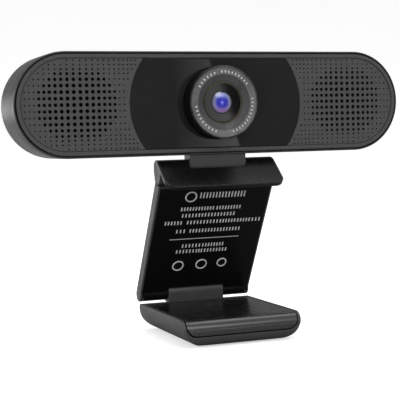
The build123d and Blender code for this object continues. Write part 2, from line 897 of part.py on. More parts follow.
# ---------------------------------------------------------------- foot
foot_length = foot_rear - foot_front
foot_height = foot_top - foot_clearance
foot_middle = (foot_front + foot_rear) / 2
boss_x = 13.2
boss_rows = (-21.0, 16.0)
foot_bosses = [(x, y) for x in (-boss_x, boss_x) for y in boss_rows]
knuckle_front = fold_y - knuckle_radius
knuckle_rear = foot_rear - 0.2


def foot_section(start, half_width, bottom, top, lower_radius):
    """Cross-section of the foot across X, with round lower corners, on a plane at a place on Y."""
    with BuildSketch(Plane(origin=(0, start, 0), x_dir=(1, 0, 0), z_dir=(0, -1, 0))) as section:
        with Locations((0, (bottom + top) / 2)):
            Rectangle(2 * half_width, top - bottom)
        fillet(vertices().group_by(Axis.Y)[0], radius=lower_radius)
    return section.sketch


def foot_side_view():
    """Side view of the foot: a slab with a soft front and a rounded rear."""
    with BuildSketch(side()) as view:
        with Locations((foot_middle, (foot_clearance + foot_top) / 2)):
            Rectangle(foot_length, foot_height)
        fillet(vertices().sort_by(Axis.X)[:2].sort_by(Axis.Y)[0], radius=3.6)
        fillet(vertices().group_by(Axis.X)[0].sort_by(Axis.Y)[-1], radius=foot_front_radius)
        fillet(vertices().group_by(Axis.X)[-1].sort_by(Axis.Y)[0], radius=4.5)
        fillet(vertices().group_by(Axis.X)[-1].sort_by(Axis.Y)[-1], radius=1.2)
    return view.sketch


with BuildPart() as foot_shell:
    outline = foot_section(foot_rear, foot_half, foot_clearance, foot_top, foot_lower_radius)
    extrude(outline, amount=foot_length)
    extrude(foot_side_view(), amount=foot_half, both=True, mode=Mode.INTERSECT)
    tray = foot_section(foot_rear - 1.0, insert_half + insert_gap, foot_floor, foot_top + 1, 4.4)
    extrude(tray, amount=foot_length, mode=Mode.SUBTRACT)
    with BuildSketch(Plane.XY):
        with Locations((0, foot_middle)):
            RectangleRounded(pad_size[0] + 0.2, pad_size[1] + 0.2, 3.1)
    extrude(amount=pad_thickness, mode=Mode.SUBTRACT)
    with BuildSketch(Plane.XY):
        Circle(tripod_outer)
        with Locations(*foot_bosses):
            Circle(0.9)
    extrude(amount=foot_floor + 1, mode=Mode.SUBTRACT)
    with BuildSketch(Plane.XY):
        with Locations(*foot_bosses):
            Circle(1.8)
    extrude(amount=2.1, mode=Mode.SUBTRACT)
    with BuildSketch(Plane.XY.offset(foot_sill)):
        with Locations((0, foot_rear)):
            Rectangle(2 * knuckle_half + 0.3, 8)
    extrude(amount=10, mode=Mode.SUBTRACT)
save(foot_shell, "foot_shell")

with BuildPart() as foot_insert:
    cover = foot_section(foot_rear - 1.0 - insert_gap, insert_half, foot_floor + insert_gap, foot_top, 4.1)
    extrude(cover, amount=foot_length)
    extrude(foot_side_view(), amount=foot_half, both=True, mode=Mode.INTERSECT)
    inside = foot_section(foot_rear, insert_half - 1.4, 0, foot_top - insert_thickness, 0.5)
    extrude(inside, amount=foot_length - insert_front_wall, mode=Mode.SUBTRACT)
    with BuildSketch(Plane.XY.offset(foot_floor + 0.05)):
        with Locations(*foot_bosses):
            Circle(2.1)
    extrude(amount=foot_top - insert_thickness - foot_floor)
    with BuildSketch(Plane.XY):
        with Locations(*foot_bosses):
            Circle(0.7)
    extrude(amount=8, mode=Mode.SUBTRACT)
    with BuildSketch(Plane.XY):
        with Locations((0, knuckle_front - 0.1 + 10)):
            Rectangle(2 * knuckle_half + 0.2, 20)
    extrude(amount=20, mode=Mode.SUBTRACT)
save(foot_insert, "foot_insert")

with BuildPart() as fold_knuckle:
    with BuildSketch(side()):
        with Locations((fold_y, fold_z)):
            Circle(knuckle_radius)
        with BuildLine():
            Polyline(
                (knuckle_front, fold_z),
                (knuckle_front, foot_floor + 1.3),
                (knuckle_front - 3, foot_floor + 1.3),
                (knuckle_front - 3, foot_floor + 0.05),
                (foot_rear - 1.1, foot_floor + 0.05),
                (foot_rear - 1.1, foot_sill + 0.1),
                (knuckle_rear, foot_sill + 0.1),
                (knuckle_rear, fold_z),
                close=True,
            )
        make_face()
        with Locations((fold_y, fold_z)):
            Circle(2.3, mode=Mode.SUBTRACT)
    extrude(amount=knuckle_half, both=True)
save(fold_knuckle, "fold_knuckle")

with BuildPart() as knuckle_bushes:
    for start in (-knuckle_half, 0.2):
        with BuildSketch(side(start)):
            with Locations((fold_y, fold_z)):
                Circle(2.28)
                Circle(pin_radius + running_gap, mode=Mode.SUBTRACT)
        extrude(amount=knuckle_half - 0.2)
save(knuckle_bushes, "knuckle_bushes")

with BuildPart() as foot_weight:
    with BuildSketch(Plane.XY.offset(foot_floor + 0.05)):
        with Locations((0, -2.5)):
            RectangleRounded(36, 30, 2)
        Circle(6.4, mode=Mode.SUBTRACT)
    extrude(amount=4)
save(foot_weight, "foot_weight")

with BuildPart() as tripod_insert:
    with BuildSketch(Plane.XY.offset(0.3)):
        Circle(tripod_outer - 0.02)
    extrude(amount=tripod_length)
    with BuildSketch(Plane.XY.offset(foot_floor + 0.02)):
        Circle(6.2)
    extrude(amount=1.0)
    with BuildSketch(Plane.XY):
        Circle(tripod_bore)
    extrude(amount=tripod_length + 1, mode=Mode.SUBTRACT)
save(tripod_insert, "tripod_insert")

with BuildPart() as foot_pad:
    with BuildSketch(Plane.XY):
        with Locations((0, foot_middle)):
            RectangleRounded(*pad_size, 3)
        Circle(tripod_outer + 0.8, mode=Mode.SUBTRACT)
    extrude(amount=pad_thickness - 0.02)
save(foot_pad, "foot_pad")

with BuildPart() as foot_screws:
    with BuildSketch(Plane.XY.offset(pad_thickness + 0.1)):
        with Locations(*foot_bosses):
            Circle(1.6)
    extrude(amount=0.9)
    with BuildSketch(Plane.XY.offset(pad_thickness + 0.2)):
        with Locations(*foot_bosses):
            Circle(0.68)
    extrude(amount=6.5)
save(foot_screws, "foot_screws")
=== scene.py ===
"""Looks for a bar webcam on a folding clip stand, laid out as an add-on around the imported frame."""
import json
import math

import bmesh
import bpy
from bpy.props import FloatProperty, FloatVectorProperty, IntProperty, PointerProperty
from mathutils import Matrix, Vector


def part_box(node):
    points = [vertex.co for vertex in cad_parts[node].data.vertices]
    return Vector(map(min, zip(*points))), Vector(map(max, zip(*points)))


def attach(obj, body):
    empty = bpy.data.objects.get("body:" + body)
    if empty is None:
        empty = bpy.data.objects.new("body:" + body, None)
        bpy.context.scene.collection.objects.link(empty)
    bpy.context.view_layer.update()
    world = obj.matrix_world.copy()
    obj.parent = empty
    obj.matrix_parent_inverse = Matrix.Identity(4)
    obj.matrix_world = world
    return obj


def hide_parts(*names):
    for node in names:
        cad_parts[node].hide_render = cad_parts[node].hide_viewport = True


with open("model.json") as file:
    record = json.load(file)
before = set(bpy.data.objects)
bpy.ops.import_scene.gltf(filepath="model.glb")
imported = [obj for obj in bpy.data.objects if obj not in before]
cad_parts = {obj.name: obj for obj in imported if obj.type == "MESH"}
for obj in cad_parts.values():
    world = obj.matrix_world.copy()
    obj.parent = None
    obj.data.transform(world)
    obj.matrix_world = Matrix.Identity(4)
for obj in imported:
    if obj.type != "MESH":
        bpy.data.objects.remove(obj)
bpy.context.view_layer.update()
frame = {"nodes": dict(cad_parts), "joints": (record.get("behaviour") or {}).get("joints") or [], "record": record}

bl_info = {
    "name": "Bar webcam looks",
    "version": (1, 0, 0),
    "blender": (4, 5, 0),
    "location": "3D View > Sidebar > Webcam",
    "description": "Finishes and small pieces for a bar webcam on a folding clip stand",
    "category": "Object",
}

MM = 0.001
WARM_DUST = (0.30, 0.29, 0.28)
GREY_DUST = (0.22, 0.22, 0.22)

# Places that the small pieces are built on, read from the frame.
hood_low, hood_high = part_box("lens_hood")
LENS_CENTRE = Vector(((hood_low.x + hood_high.x) / 2, hood_low.y, (hood_low.z + hood_high.z) / 2))
FOLD_AXIS = next(Vector(joint["pos_m"]) for joint in frame["joints"] if joint["name"] == "fold_hinge")


# ---------------------------------------------------------------- settings
class WebcamColours(bpy.types.PropertyGroup):
    """Colours of the moulded, glossy, metal and coated finishes."""

    graphite: FloatVectorProperty(
        name="Graphite",
        description="Matte plastic of the stand",
        subtype="COLOR",
        default=(0.045, 0.045, 0.0465),
    )
    charcoal: FloatVectorProperty(
        name="Charcoal",
        description="Satin plastic of the housing and bezel",
        subtype="COLOR",
        default=(0.05, 0.05, 0.052),
    )
    grille: FloatVectorProperty(
        name="Grille",
        description="Speckled plastic of the perforated front",
        subtype="COLOR",
        default=(0.058, 0.058, 0.06),
    )
    gloss: FloatVectorProperty(
        name="Gloss black",
        description="Polished plastic of the centre, lip, arm and foot covers",
        subtype="COLOR",
        default=(0.004, 0.004, 0.004),
    )
    ring: FloatVectorProperty(
        name="Lens ring",
        description="Wide ring around the lens",
        subtype="COLOR",
        default=(0.20, 0.20, 0.205),
    )
    accent: FloatVectorProperty(
        name="Accent",
        description="Thin bright ring inside the lens",
        subtype="COLOR",
        default=(0.10, 0.087, 0.06),
    )
    coating: FloatVectorProperty(
        name="Coating",
        description="Blue of the coated front glass",
        subtype="COLOR",
        default=(0.015, 0.018, 0.55),
    )
    print_white: FloatVectorProperty(
        name="Print",
        description="Pale ink of the rules and scale marks",
        subtype="COLOR",
        default=(0.74, 0.74, 0.74),
    )


class WebcamSizes(bpy.types.PropertyGroup):
    """Sizes of the small pieces."""

    dash_pitch: FloatProperty(
        name="Dash pitch",
        description="Spacing of the upright dashes on the label plate",
        default=1.3 * MM,
        unit="LENGTH",
    )
    dash_width: FloatProperty(
        name="Dash width",
        description="Width of an upright dash on the label plate",
        default=0.55 * MM,
        unit="LENGTH",
    )
    print_thickness: FloatProperty(
        name="Print thickness",
        description="How far printed marks stand off their surface",
        default=0.05 * MM,
        unit="LENGTH",
    )
    tick_length: FloatProperty(
        name="Tick length",
        description="Radial length of a scale mark on the lens ring",
        default=1.5 * MM,
        unit="LENGTH",
    )
    tick_step: FloatProperty(
        name="Tick step",
        description="Angle from one scale mark to the next",
        default=math.radians(7.5),
        unit="ROTATION",
    )
    rib_pitch: FloatProperty(
        name="Rib pitch",
        description="Spacing of the ribs on the grip pads",
        default=2.4 * MM,
        unit="LENGTH",
    )
    rib_height: FloatProperty(
        name="Rib height",
        description="How far a rib stands off its grip pad",
        default=0.35 * MM,
        unit="LENGTH",
    )
    thread_pitch: FloatProperty(
        name="Thread pitch",
        description="Rise of the tripod thread for each turn",
        default=1.27 * MM,
        unit="LENGTH",
    )
    contact_count: IntProperty(
        name="Contacts",
        description="Gold contacts on each face of the socket's tongue",
        default=8,
    )


class WebcamStage(bpy.types.PropertyGroup):
    """Camera and light."""

    focal_length: FloatProperty(
        name="Focal length",
        description="Lens of the camera, in millimetres on a 36 mm sensor",
        default=101.66,
    )
    surround: FloatProperty(
        name="Surround",
        description="Brightness of the white surround",
        default=1.0,
    )
    front_dimming: FloatProperty(
        name="Front dimming",
        description="Brightness of the surround in front, as a share of the rest",
        default=0.35,
    )
    reflector_glow: FloatProperty(
        name="Reflector glow",
        description="Brightness of the card at the lower end of its slanting edge",
        default=7.0,
    )
    side_light: FloatProperty(
        name="Side light",
        description="Power of the large light at the left",
        default=3.0,
        unit="POWER",
    )
    top_light: FloatProperty(
        name="Top light",
        description="Power of the large light overhead",
        default=3.0,
        unit="POWER",
    )
    front_light: FloatProperty(
        name="Front light",
        description="Power of the light above the front",
        default=1.7,
        unit="POWER",
    )
    catch_light: FloatProperty(
        name="Catch light",
        description="Power of the small light that the front glass shows",
        default=0.25,
        unit="POWER",
    )
    rim_light: FloatProperty(
        name="Rim light",
        description="Power of the light behind the left end",
        default=0.9,
        unit="POWER",
    )


# ---------------------------------------------------------------- shader parts
def add_node(tree, kind, **settings):
    """Add a shader node; names of its sockets take values, and its own settings are set."""
    node = tree.nodes.new(kind)
    for name, value in settings.items():
        if hasattr(node, name):
            setattr(node, name, value)
        else:
            node.inputs[name.replace("_", " ").title()].default_value = value
    return node


def spread(tree, value, low, high, to_low=0.0, to_high=1.0, soft=False):
    """Map a value's stretch from low to high onto another, and give the node's output."""
    kind = "SMOOTHSTEP" if soft else "LINEAR"
    node = add_node(tree, "ShaderNodeMapRange", interpolation_type=kind)
    for label, number in (("From Min", low), ("From Max", high), ("To Min", to_low), ("To Max", to_high)):
        node.inputs[label].default_value = number
    tree.links.new(value, node.inputs["Value"])
    return node.outputs["Result"]


def reckon(tree, operation, *values):
    """Math node on node outputs or numbers, and its output."""
    node = add_node(tree, "ShaderNodeMath", operation=operation)
    for socket, value in zip(node.inputs, values):
        if isinstance(value, bpy.types.NodeSocket):
            tree.links.new(value, socket)
        else:
            socket.default_value = value
    return node.outputs[0]


def object_place(tree):
    """Output with the place on the object."""
    return add_node(tree, "ShaderNodeTexCoord").outputs["Object"]


def new_group(name, inputs, outputs):
    """Start a shader node group with number inputs and the named outputs."""
    tree = bpy.data.node_groups.new(name, "ShaderNodeTree")
    for label, default in inputs:
        socket = tree.interface.new_socket(name=label, in_out="INPUT", socket_type="NodeSocketFloat")
        socket.default_value = default
    for label, kind in outputs:
        tree.interface.new_socket(name=label, in_out="OUTPUT", socket_type=kind)
    return tree, tree.nodes.new("NodeGroupInput"), tree.nodes.new("NodeGroupOutput")


def fine_grain():
    """Group: spark-eroded texture of moulded plastic, as a height and as a tone."""
    tree, given, result = new_group(
        "fine_grain",
        [("Scale", 2500.0)],
        [("Height", "NodeSocketFloat"), ("Tone", "NodeSocketFloat")],
    )
    link = tree.links.new
    place = object_place(tree)
    coarse = add_node(tree, "ShaderNodeTexNoise", detail=3.0, roughness=0.65)
    pits = add_node(tree, "ShaderNodeTexVoronoi", feature="F1")
    link(place, coarse.inputs["Vector"])
    link(place, pits.inputs["Vector"])
    link(given.outputs["Scale"], coarse.inputs["Scale"])
    link(reckon(tree, "MULTIPLY", given.outputs["Scale"], 1.7), pits.inputs["Scale"])
    height = reckon(tree, "MULTIPLY_ADD", pits.outputs["Distance"], 0.45, coarse.outputs["Fac"])
    link(height, result.inputs["Height"])
    link(spread(tree, height, 0.35, 0.75), result.inputs["Tone"])
    return tree


def edge_wear_and_highlight():
    """Group: normals softened over edges, and a broken mask along edges, used both for wear that hands have
    polished and for painted highlights where edges catch the light.
    """
    tree, given, result = new_group(
        "edge_wear_and_highlight",
        [("Radius", 0.0003)],
        [("Normal", "NodeSocketVector"), ("Mask", "NodeSocketFloat")],
    )
    link = tree.links.new
    rounded = add_node(tree, "ShaderNodeBevel", samples=4)
    surface = add_node(tree, "ShaderNodeNewGeometry")
    agree = add_node(tree, "ShaderNodeVectorMath", operation="DOT_PRODUCT")
    scuffs = add_node(tree, "ShaderNodeTexNoise", scale=420.0, detail=4.0)
    link(given.outputs["Radius"], rounded.inputs["Radius"])
    link(rounded.outputs["Normal"], agree.inputs[0])
    link(surface.outputs["Normal"], agree.inputs[1])
    link(object_place(tree), scuffs.inputs["Vector"])
    edge = spread(tree, agree.outputs["Value"], 0.985, 0.85)
    link(rounded.outputs["Normal"], result.inputs["Normal"])
    link(reckon(tree, "MULTIPLY", edge, scuffs.outputs["Fac"]), result.inputs["Mask"])
    return tree


def smudges():
    """Group: slow unevenness of a handled surface, from 0 to 1."""
    tree, given, result = new_group("smudges", [("Scale", 60.0)], [("Amount", "NodeSocketFloat")])
    link = tree.links.new
    cloud = add_node(tree, "ShaderNodeTexNoise", detail=5.0, roughness=0.6, distortion=0.8)
    link(object_place(tree), cloud.inputs["Vector"])
    link(given.outputs["Scale"], cloud.inputs["Scale"])
    link(spread(tree, cloud.outputs["Fac"], 0.35, 0.7, soft=True), result.inputs["Amount"])
    return tree


def settled_dust():
    """Group: thin dust on faces that look up."""
    tree, given, result = new_group("settled_dust", [("Amount", 0.1)], [("Mask", "NodeSocketFloat")])
    link = tree.links.new
    surface = add_node(tree, "ShaderNodeNewGeometry")
    parts = add_node(tree, "ShaderNodeSeparateXYZ")
    specks = add_node(tree, "ShaderNodeTexNoise", scale=900.0, detail=6.0, roughness=0.75)
    link(surface.outputs["Normal"], parts.inputs[0])
    link(object_place(tree), specks.inputs["Vector"])
    upward = spread(tree, parts.outputs["Z"], 0.4, 1.0)
    sparse = spread(tree, specks.outputs["Fac"], 0.5, 0.75)
    lying = reckon(tree, "MULTIPLY", upward, sparse)
    link(reckon(tree, "MULTIPLY", lying, given.outputs["Amount"]), result.inputs["Mask"])
    return tree


def from_lens_axis(tree):
    """Distance from the lens axis in metres, and the place across and up from it."""
    centred = add_node(tree, "ShaderNodeMapping")
    centred.inputs["Location"].default_value = -LENS_CENTRE
    flat = add_node(tree, "ShaderNodeVectorMath", operation="MULTIPLY")
    flat.inputs[1].default_value = (1.0, 0.0, 1.0)
    radius = add_node(tree, "ShaderNodeVectorMath", operation="LENGTH")
    tree.links.new(object_place(tree), centred.inputs["Vector"])
    tree.links.new(centred.outputs["Vector"], flat.inputs[0])
    tree.links.new(flat.outputs["Vector"], radius.inputs[0])
    return radius.outputs["Value"], flat.outputs["Vector"]


def turned_rings():
    """Group: fine turning marks around the lens axis, as a height."""
    tree, given, result = new_group("turned_rings", [("Pitch", 0.0002)], [("Height", "NodeSocketFloat")])
    radius, _ = from_lens_axis(tree)
    turns = reckon(tree, "DIVIDE", radius, given.outputs["Pitch"])
    tree.links.new(reckon(tree, "SINE", turns), result.inputs["Height"])
    return tree


def cloth_weave():
    """Group: plain weave of threads along X and Z, as a height."""
    tree, given, result = new_group("cloth_weave", [("Pitch", 0.00025)], [("Height", "NodeSocketFloat")])
    parts = add_node(tree, "ShaderNodeSeparateXYZ")
    tree.links.new(object_place(tree), parts.inputs[0])
    waves = [
        reckon(tree, "SINE", reckon(tree, "DIVIDE", parts.outputs[axis], given.outputs["Pitch"]))
        for axis in ("X", "Z")
    ]
    tree.links.new(reckon(tree, "MULTIPLY", *waves), result.inputs["Height"])
    return tree


groups = {}


def place_group(tree, maker, **inputs):
    """Put a shared effect into a material, building it the first time."""
    if maker not in groups:
        groups[maker] = maker()
    node = tree.nodes.new("ShaderNodeGroup")
    node.node_tree = groups[maker]
    for label, value in inputs.items():
        node.inputs[label.title()].default_value = value
    return node


def start_material(name, roughness=0.5, metallic=0.0, coat=0.0, specular=0.5):
    """A new material with its Principled shader's even values set."""
    material = bpy.data.materials.new(name)
    material.use_nodes = True
    shader = material.node_tree.nodes["Principled BSDF"]
    shader.inputs["Roughness"].default_value = roughness
    shader.inputs["Metallic"].default_value = metallic
    shader.inputs["Coat Weight"].default_value = coat
    shader.inputs["Specular IOR Level"].default_value = specular
    return material, material.node_tree, shader


def mix_colours(tree, factor, first, second):
    """Colour mix of two constants or node outputs by a factor output."""
    mix = add_node(tree, "ShaderNodeMix", data_type="RGBA")
    tree.links.new(factor, mix.inputs["Factor"])
    for socket, value in ((mix.inputs[6], first), (mix.inputs[7], second)):
        if isinstance(value, bpy.types.NodeSocket):
            tree.links.new(value, socket)
        else:
            socket.default_value = (*value, 1.0)
    return mix.outputs[2]


def shade(colour, factor):
    """A colour made darker or lighter."""
    return tuple(min(1.0, channel * factor) for channel in colour)


def spread_roughness(tree, shader, middle, swing, scale):
    """Roughness that drifts about a middle value with the smudges."""
    handled = place_group(tree, smudges, scale=scale)
    drift = spread(tree, handled.outputs["Amount"], 0.0, 1.0, middle - swing, middle + swing)
    tree.links.new(drift, shader.inputs["Roughness"])
    return handled.outputs["Amount"]


def add_bump(tree, shader, height, distance, normal=None):
    """Feed a height to the shader's normal."""
    bump = add_node(tree, "ShaderNodeBump")
    bump.inputs["Distance"].default_value = distance
    tree.links.new(height, bump.inputs["Height"])
    if normal is not None:
        tree.links.new(normal, bump.inputs["Normal"])
    tree.links.new(bump.outputs["Normal"], shader.inputs["Normal"])


def moulded(name, colour, roughness, grain_scale, grain_depth, variation=0.12, radius=0.3, edge=1.9, **even):
    """Moulded plastic: grain, uneven sheen, edges paler by a factor (polished wear at small factors, a painted
    highlight at large ones), and a little dust.
    """
    material, tree, shader = start_material(name, roughness, **even)
    grain = place_group(tree, fine_grain, scale=grain_scale)
    wear_and_highlight = place_group(tree, edge_wear_and_highlight, radius=radius * MM)
    dust = place_group(tree, settled_dust, amount=0.10)
    spread_roughness(tree, shader, roughness, swing=0.05, scale=55.0)
    low, high = shade(colour, 1 - variation), shade(colour, 1 + variation)
    body = mix_colours(tree, grain.outputs["Tone"], low, high)
    # Edges paler by the factor: polished wear at small factors, a painted highlight at large ones.
    worn_and_highlit = mix_colours(tree, wear_and_highlight.outputs["Mask"], body, shade(colour, edge))
    dusty = mix_colours(tree, dust.outputs["Mask"], worn_and_highlit, WARM_DUST)
    tree.links.new(dusty, shader.inputs["Base Color"])
    add_bump(tree, shader, grain.outputs["Height"], grain_depth, wear_and_highlight.outputs["Normal"])
    return material


def polished(name, colour, roughness=0.09, radius=0.3, ripple=0.000004, specular=0.5, edge=1.0):
    """Polished plastic: clear gloss with faint smudges, a slow mould ripple, sparse dust, and edges paler by a
    factor as a painted highlight.
    """
    material, tree, shader = start_material(name, roughness, specular=specular)
    wear_and_highlight = place_group(tree, edge_wear_and_highlight, radius=radius * MM)
    dust = place_group(tree, settled_dust, amount=0.008)
    handled = spread_roughness(tree, shader, roughness, swing=0.15 * roughness, scale=70.0)
    body = mix_colours(tree, handled, colour, shade(colour, 1.12))
    # Edges paler by the factor: a painted highlight along the edges.
    worn_and_highlit = mix_colours(tree, wear_and_highlight.outputs["Mask"], body, shade(colour, edge))
    dusty = mix_colours(tree, dust.outputs["Mask"], worn_and_highlit, GREY_DUST)
    tree.links.new(dusty, shader.inputs["Base Color"])
    add_bump(tree, shader, handled, ripple, wear_and_highlight.outputs["Normal"])
    return material


def machined(name, colour, roughness, pitch=None, metallic=1.0):
    """Metal with turning marks or a plated grain."""
    material, tree, shader = start_material(name, roughness, metallic)
    wear_and_highlight = place_group(tree, edge_wear_and_highlight, radius=0.15 * MM)
    grain = place_group(tree, fine_grain, scale=1800.0)
    handled = spread_roughness(tree, shader, roughness, swing=0.06, scale=120.0)
    body = mix_colours(tree, grain.outputs["Tone"], shade(colour, 0.85), colour)
    stained = mix_colours(tree, handled, body, shade(colour, 0.7))
    tree.links.new(stained, shader.inputs["Base Color"])
    if pitch is None:
        add_bump(tree, shader, grain.outputs["Height"], 0.01 * MM, wear_and_highlight.outputs["Normal"])
    else:
        rings = place_group(tree, turned_rings, pitch=pitch)
        add_bump(tree, shader, rings.outputs["Height"], 0.008 * MM, wear_and_highlight.outputs["Normal"])
    return material


def rubbery(name, colour, grain_scale=1500.0):
    """Matte rubber with a chalky bloom."""
    material, tree, shader = start_material(name, 0.85, specular=0.3)
    grain = place_group(tree, fine_grain, scale=grain_scale)
    bloom = place_group(tree, smudges, scale=90.0)
    body = mix_colours(tree, grain.outputs["Tone"], colour, shade(colour, 1.5))
    bloomed = mix_colours(tree, bloom.outputs["Amount"], body, shade(colour, 2.1))
    tree.links.new(bloomed, shader.inputs["Base Color"])
    add_bump(tree, shader, grain.outputs["Height"], 0.00005)
    return material


def woven(name, colour):
    """Open black cloth behind the speaker holes."""
    material, tree, shader = start_material(name, 0.9, specular=0.2)
    weave = place_group(tree, cloth_weave, pitch=0.00006)
    raised = spread(tree, weave.outputs["Height"], -1.0, 1.0)
    threads = mix_colours(tree, raised, shade(colour, 0.4), shade(colour, 1.6))
    tree.links.new(threads, shader.inputs["Base Color"])
    add_bump(tree, shader, weave.outputs["Height"], 0.00005)
    return material


def laminate(name, colour, trace_colour):
    """Circuit board: solder mask over copper traces that show as paler lines."""
    material, tree, shader = start_material(name, 0.35, coat=0.3)
    cells = add_node(tree, "ShaderNodeTexBrick", scale=260.0)
    cells.inputs["Mortar Size"].default_value = 0.06
    turned = add_node(tree, "ShaderNodeMapping")
    turned.inputs["Rotation"].default_value = (math.radians(90), 0.0, 0.0)
    tree.links.new(object_place(tree), turned.inputs["Vector"])
    tree.links.new(turned.outputs["Vector"], cells.inputs["Vector"])
    masked = mix_colours(tree, cells.outputs["Fac"], colour, trace_colour)
    tree.links.new(masked, shader.inputs["Base Color"])
    add_bump(tree, shader, cells.outputs["Fac"], 0.00003)
    spread_roughness(tree, shader, 0.35, swing=0.08, scale=80.0)
    return material


def coated(name, colour):
    """Coated front glass: a blue pupil with a violet lower edge in a nearly black rim; the centre spot and the
    paler top are painted highlights, and the violet lower edge is a painted reflection of the coating.
    """
    material, tree, shader = start_material(name, 0.15, coat=0.7)
    shader.inputs["Coat Roughness"].default_value = 0.12
    radius, across = from_lens_axis(tree)
    share = spread(tree, radius, 0.0, 4.3 * MM)
    zones = add_node(tree, "ShaderNodeValToRGB")
    ramp = zones.color_ramp
    # The ramp's centre colour is a painted highlight.
    ramp.elements[0].color = (0.45, 0.52, 1.0, 1.0)
    ramp.elements[1].color = (0.01, 0.01, 0.015, 1.0)
    for position, tint in (
        (0.10, (0.06, 0.06, 0.85, 1.0)),
        (0.34, (*colour, 1.0)),
        (0.55, (0.05, 0.05, 0.62, 1.0)),
        (0.64, (0.24, 0.25, 0.60, 1.0)),
        (0.82, (0.26, 0.27, 0.44, 1.0)),
        (0.93, (0.08, 0.08, 0.14, 1.0)),
    ):
        ramp.elements.new(position).color = tint
    tree.links.new(share, zones.inputs["Fac"])
    parts = add_node(tree, "ShaderNodeSeparateXYZ")
    tree.links.new(across, parts.inputs[0])
    # Painted light: a violet painted reflection on the lower edge and a paler painted highlight across the top.
    low = spread(tree, parts.outputs["Z"], -1.6 * MM, -3.0 * MM, soft=True)
    high = spread(tree, parts.outputs["Z"], 0.9 * MM, 3.4 * MM, 0.0, 0.75, soft=True)
    rim = spread(tree, share, 0.80, 0.95, soft=True)
    violet = mix_colours(tree, low, zones.outputs["Color"], (0.30, 0.14, 0.48))
    bright = mix_colours(tree, high, violet, (0.38, 0.44, 1.0))
    whole = mix_colours(tree, rim, bright, zones.outputs["Color"])
    tree.links.new(whole, shader.inputs["Base Color"])
    spread_roughness(tree, shader, 0.15, swing=0.04, scale=300.0)
    return material


def clear_glass(name, colour):
    """Thin tinted optical glass inside the lens."""
    material, tree, shader = start_material(name, 0.03)
    shader.inputs["Transmission Weight"].default_value = 0.8
    handled = spread_roughness(tree, shader, 0.04, swing=0.02, scale=200.0)
    body = mix_colours(tree, handled, colour, shade(colour, 0.8))
    tree.links.new(body, shader.inputs["Base Color"])
    return material


def paint(material, *nodes):
    """Give a finish to CAD nodes, in their own slots."""
    for name in nodes:
        mesh = frame["nodes"][name].data
        if not mesh.materials:
            mesh.materials.append(material)
        for index in range(len(mesh.materials)):
            mesh.materials[index] = material


finishes = {}


# ---------------------------------------------------------------- modelling helpers
def begin(name, add_primitive, stretch=(1, 1, 1), **settings):
    """Add one primitive as a new piece, stretched to size, alone and wholly selected in edit mode."""
    bpy.ops.object.select_all(action="DESELECT")
    add_primitive(**settings)
    piece = bpy.context.object
    piece.name = name
    piece.data.name = name
    piece.scale = stretch
    bpy.ops.object.transform_apply(location=False, rotation=False, scale=True)
    bpy.ops.object.mode_set(mode="EDIT")
    bpy.ops.mesh.select_all(action="SELECT")
    return piece


def pick(piece, kind, wanted):
    """Select only the faces or edges of a piece in edit mode that are wanted."""
    bpy.ops.mesh.select_mode(type=kind)
    bpy.ops.mesh.select_all(action="DESELECT")
    shape = bmesh.from_edit_mesh(piece.data)
    parts = shape.faces if kind == "FACE" else shape.edges
    for part in parts:
        if wanted(part):
            part.select_set(True)
    shape.select_flush_mode()
    bmesh.update_edit_mesh(piece.data)


def end(piece, body, material, smooth=40):
    """Leave edit mode, put the piece's place in its mesh, finish it and let it ride."""
    if piece.mode == "EDIT":
        bpy.ops.object.mode_set(mode="OBJECT")
    bpy.ops.object.select_all(action="DESELECT")
    piece.select_set(True)
    bpy.context.view_layer.objects.active = piece
    bpy.ops.object.transform_apply(location=True, rotation=True, scale=True)
    bpy.ops.object.shade_smooth_by_angle(angle=math.radians(smooth))
    piece.data.materials.clear()
    piece.data.materials.append(material)
    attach(piece, body)


def block(place, size, turn=0.0):
    """Add a block to the piece in edit mode, at a place and turned about X."""
    bpy.ops.mesh.primitive_cube_add(size=1.0, location=place, rotation=(turn, 0, 0), scale=size)


def round_edges(piece, width, segments=2):
    """Bevel every edge of the piece in edit mode."""
    bpy.ops.mesh.select_all(action="SELECT")
    bpy.ops.mesh.bevel(offset=width, segments=segments, affect="EDGES", clamp_overlap=True)


